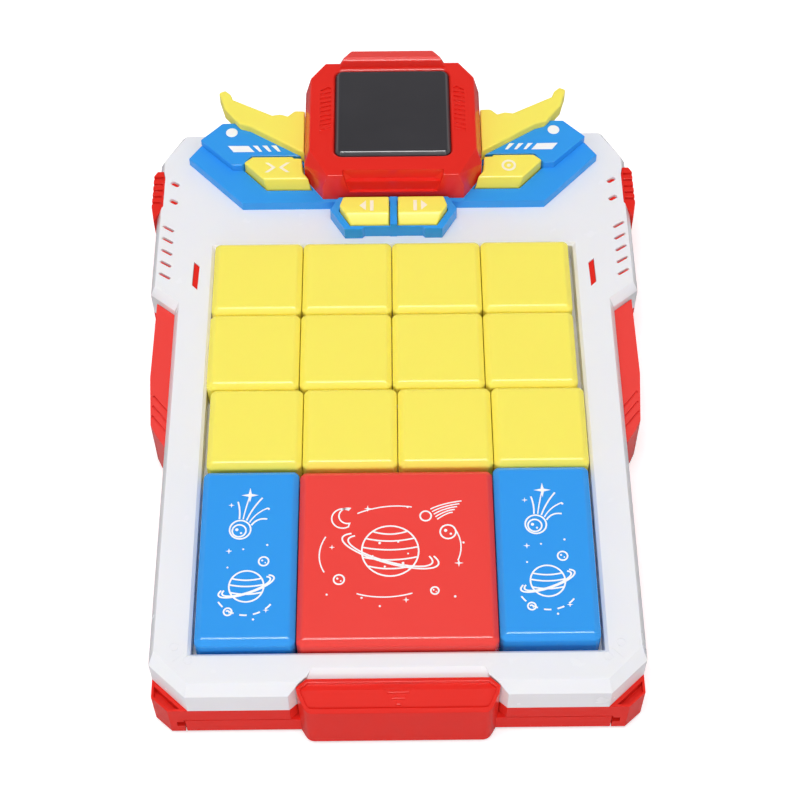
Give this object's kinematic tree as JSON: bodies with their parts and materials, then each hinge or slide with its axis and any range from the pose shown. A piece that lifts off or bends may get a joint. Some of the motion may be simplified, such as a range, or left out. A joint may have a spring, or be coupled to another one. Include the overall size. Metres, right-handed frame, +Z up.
{
  "type": "sliding block puzzle console",
  "caption": "Handheld puzzle console: a tray of lift-out sliding blocks, a raised display head on a winged button deck, and a storage drawer.",
  "frame": {"origin": "bottom centre of the whole object, on the surface it rests on", "axes": "+X to the right, +Y from the drawer towards the display head, +Z up"},
  "size_m": [0.1682, 0.2432, 0.047],
  "materials": {
    "white_abs": "fine satin gloss moulding",
    "red_abs": "gloss moulding",
    "blue_abs": "gloss moulding",
    "yellow_abs": "gloss moulding",
    "red_block_abs": "gloss moulding",
    "window_acrylic": "polished smoked acrylic",
    "black_foam": "soft foam",
    "display_glass": "dark glass and metal frame",
    "circuit_board": "solder mask",
    "ribbon_film": "polyimide film",
    "silicone": "translucent silicone",
    "feet_rubber": "matt rubber",
    "screw_steel": "zinc plated",
    "contact_steel": "nickel plated",
    "cell_jacket": "printed jacket left plain",
    "wire_jacket": "insulated wire",
    "speaker_black": "steel frame and paper cone",
    "switch_black": "moulded",
    "switch_metal": "stamped"
  },
  "bodies": {
    "case": {"top_shell": "white_abs", "base_shell": "red_abs", "side_grip_left": "red_abs", "side_grip_right": "red_abs", "ribbed_trim_left": "red_abs", "ribbed_trim_right": "red_abs", "slot_backing_left": "red_abs", "slot_backing_right": "red_abs", "wing_deck": "blue_abs", "wing_cap_left": "blue_abs", "wing_cap_right": "blue_abs", "wing_horn_left": "yellow_abs", "wing_horn_right": "yellow_abs", "head_shell": "red_abs", "screen_window": "window_acrylic", "screen_gasket": "black_foam", "display_module": "display_glass", "display_board": "circuit_board", "display_ribbon": "ribbon_film", "versus_dome": "silicone", "hint_dome": "silicone", "previous_dome": "silicone", "next_dome": "silicone", "main_board": "circuit_board", "speaker": "speaker_black", "battery_cover": "red_abs", "battery_cells": "cell_jacket", "battery_contacts": "contact_steel", "battery_leads": "wire_jacket", "power_switch": "switch_metal", "case_screws": "screw_steel", "board_screws": "screw_steel", "head_screws": "screw_steel", "cover_screw": "screw_steel", "rubber_feet": "feet_rubber"},
    "single_block_1": {"single_block_1": "yellow_abs"},
    "single_block_2": {"single_block_2": "yellow_abs"},
    "single_block_3": {"single_block_3": "yellow_abs"},
    "single_block_4": {"single_block_4": "yellow_abs"},
    "single_block_5": {"single_block_5": "yellow_abs"},
    "single_block_6": {"single_block_6": "yellow_abs"},
    "single_block_7": {"single_block_7": "yellow_abs"},
    "single_block_8": {"single_block_8": "yellow_abs"},
    "single_block_9": {"single_block_9": "yellow_abs"},
    "single_block_10": {"single_block_10": "yellow_abs"},
    "single_block_11": {"single_block_11": "yellow_abs"},
    "single_block_12": {"single_block_12": "yellow_abs"},
    "long_block_left": {"long_block_left": "blue_abs"},
    "long_block_right": {"long_block_right": "blue_abs"},
    "square_block": {"square_block": "red_block_abs"},
    "versus_button": {"versus_button": "yellow_abs"},
    "hint_button": {"hint_button": "yellow_abs"},
    "previous_button": {"previous_button": "yellow_abs"},
    "next_button": {"next_button": "yellow_abs"},
    "drawer": {"storage_drawer": "red_abs", "drawer_front": "red_abs"},
    "power_knob": {"switch_slider": "switch_black"}
  },
  "joints": [
    {"name": "single_block_1_lift", "type": "slide", "parent": "case", "child": "single_block_1", "axis": [0, 0, 1], "range_m": [0, 0.025]},
    {"name": "single_block_2_lift", "type": "slide", "parent": "case", "child": "single_block_2", "axis": [0, 0, 1], "range_m": [0, 0.025]},
    {"name": "single_block_3_lift", "type": "slide", "parent": "case", "child": "single_block_3", "axis": [0, 0, 1], "range_m": [0, 0.025]},
    {"name": "single_block_4_lift", "type": "slide", "parent": "case", "child": "single_block_4", "axis": [0, 0, 1], "range_m": [0, 0.025]},
    {"name": "single_block_5_lift", "type": "slide", "parent": "case", "child": "single_block_5", "axis": [0, 0, 1], "range_m": [0, 0.025]},
    {"name": "single_block_6_lift", "type": "slide", "parent": "case", "child": "single_block_6", "axis": [0, 0, 1], "range_m": [0, 0.025]},
    {"name": "single_block_7_lift", "type": "slide", "parent": "case", "child": "single_block_7", "axis": [0, 0, 1], "range_m": [0, 0.025]},
    {"name": "single_block_8_lift", "type": "slide", "parent": "case", "child": "single_block_8", "axis": [0, 0, 1], "range_m": [0, 0.025]},
    {"name": "single_block_9_lift", "type": "slide", "parent": "case", "child": "single_block_9", "axis": [0, 0, 1], "range_m": [0, 0.025]},
    {"name": "single_block_10_lift", "type": "slide", "parent": "case", "child": "single_block_10", "axis": [0, 0, 1], "range_m": [0, 0.025]},
    {"name": "single_block_11_lift", "type": "slide", "parent": "case", "child": "single_block_11", "axis": [0, 0, 1], "range_m": [0, 0.025]},
    {"name": "single_block_12_lift", "type": "slide", "parent": "case", "child": "single_block_12", "axis": [0, 0, 1], "range_m": [0, 0.025]},
    {"name": "long_block_left_lift", "type": "slide", "parent": "case", "child": "long_block_left", "axis": [0, 0, 1], "range_m": [0, 0.025]},
    {"name": "long_block_right_lift", "type": "slide", "parent": "case", "child": "long_block_right", "axis": [0, 0, 1], "range_m": [0, 0.025]},
    {"name": "square_block_lift", "type": "slide", "parent": "case", "child": "square_block", "axis": [0, 0, 1], "range_m": [0, 0.025]},
    {"name": "versus_press", "type": "slide", "parent": "case", "child": "versus_button", "axis": [0, 0, -1], "range_m": [0, 0.001], "stiffness_N_per_m": 800, "springref_m": -0.0003, "deforming": ["versus_dome"]},
    {"name": "hint_press", "type": "slide", "parent": "case", "child": "hint_button", "axis": [0, 0, -1], "range_m": [0, 0.001], "stiffness_N_per_m": 800, "springref_m": -0.0003, "deforming": ["hint_dome"]},
    {"name": "previous_press", "type": "slide", "parent": "case", "child": "previous_button", "axis": [0, 0, -1], "range_m": [0, 0.001], "stiffness_N_per_m": 800, "springref_m": -0.0003, "deforming": ["previous_dome"]},
    {"name": "next_press", "type": "slide", "parent": "case", "child": "next_button", "axis": [0, 0, -1], "range_m": [0, 0.001], "stiffness_N_per_m": 800, "springref_m": -0.0003, "deforming": ["next_dome"]},
    {"name": "drawer_slide", "type": "slide", "parent": "case", "child": "drawer", "axis": [0, -1, 0], "range_m": [0, 0.066]},
    {"name": "power_slide", "type": "slide", "parent": "case", "child": "power_knob", "axis": [1, 0, 0], "range_m": [0, 0.004]}
  ]
}
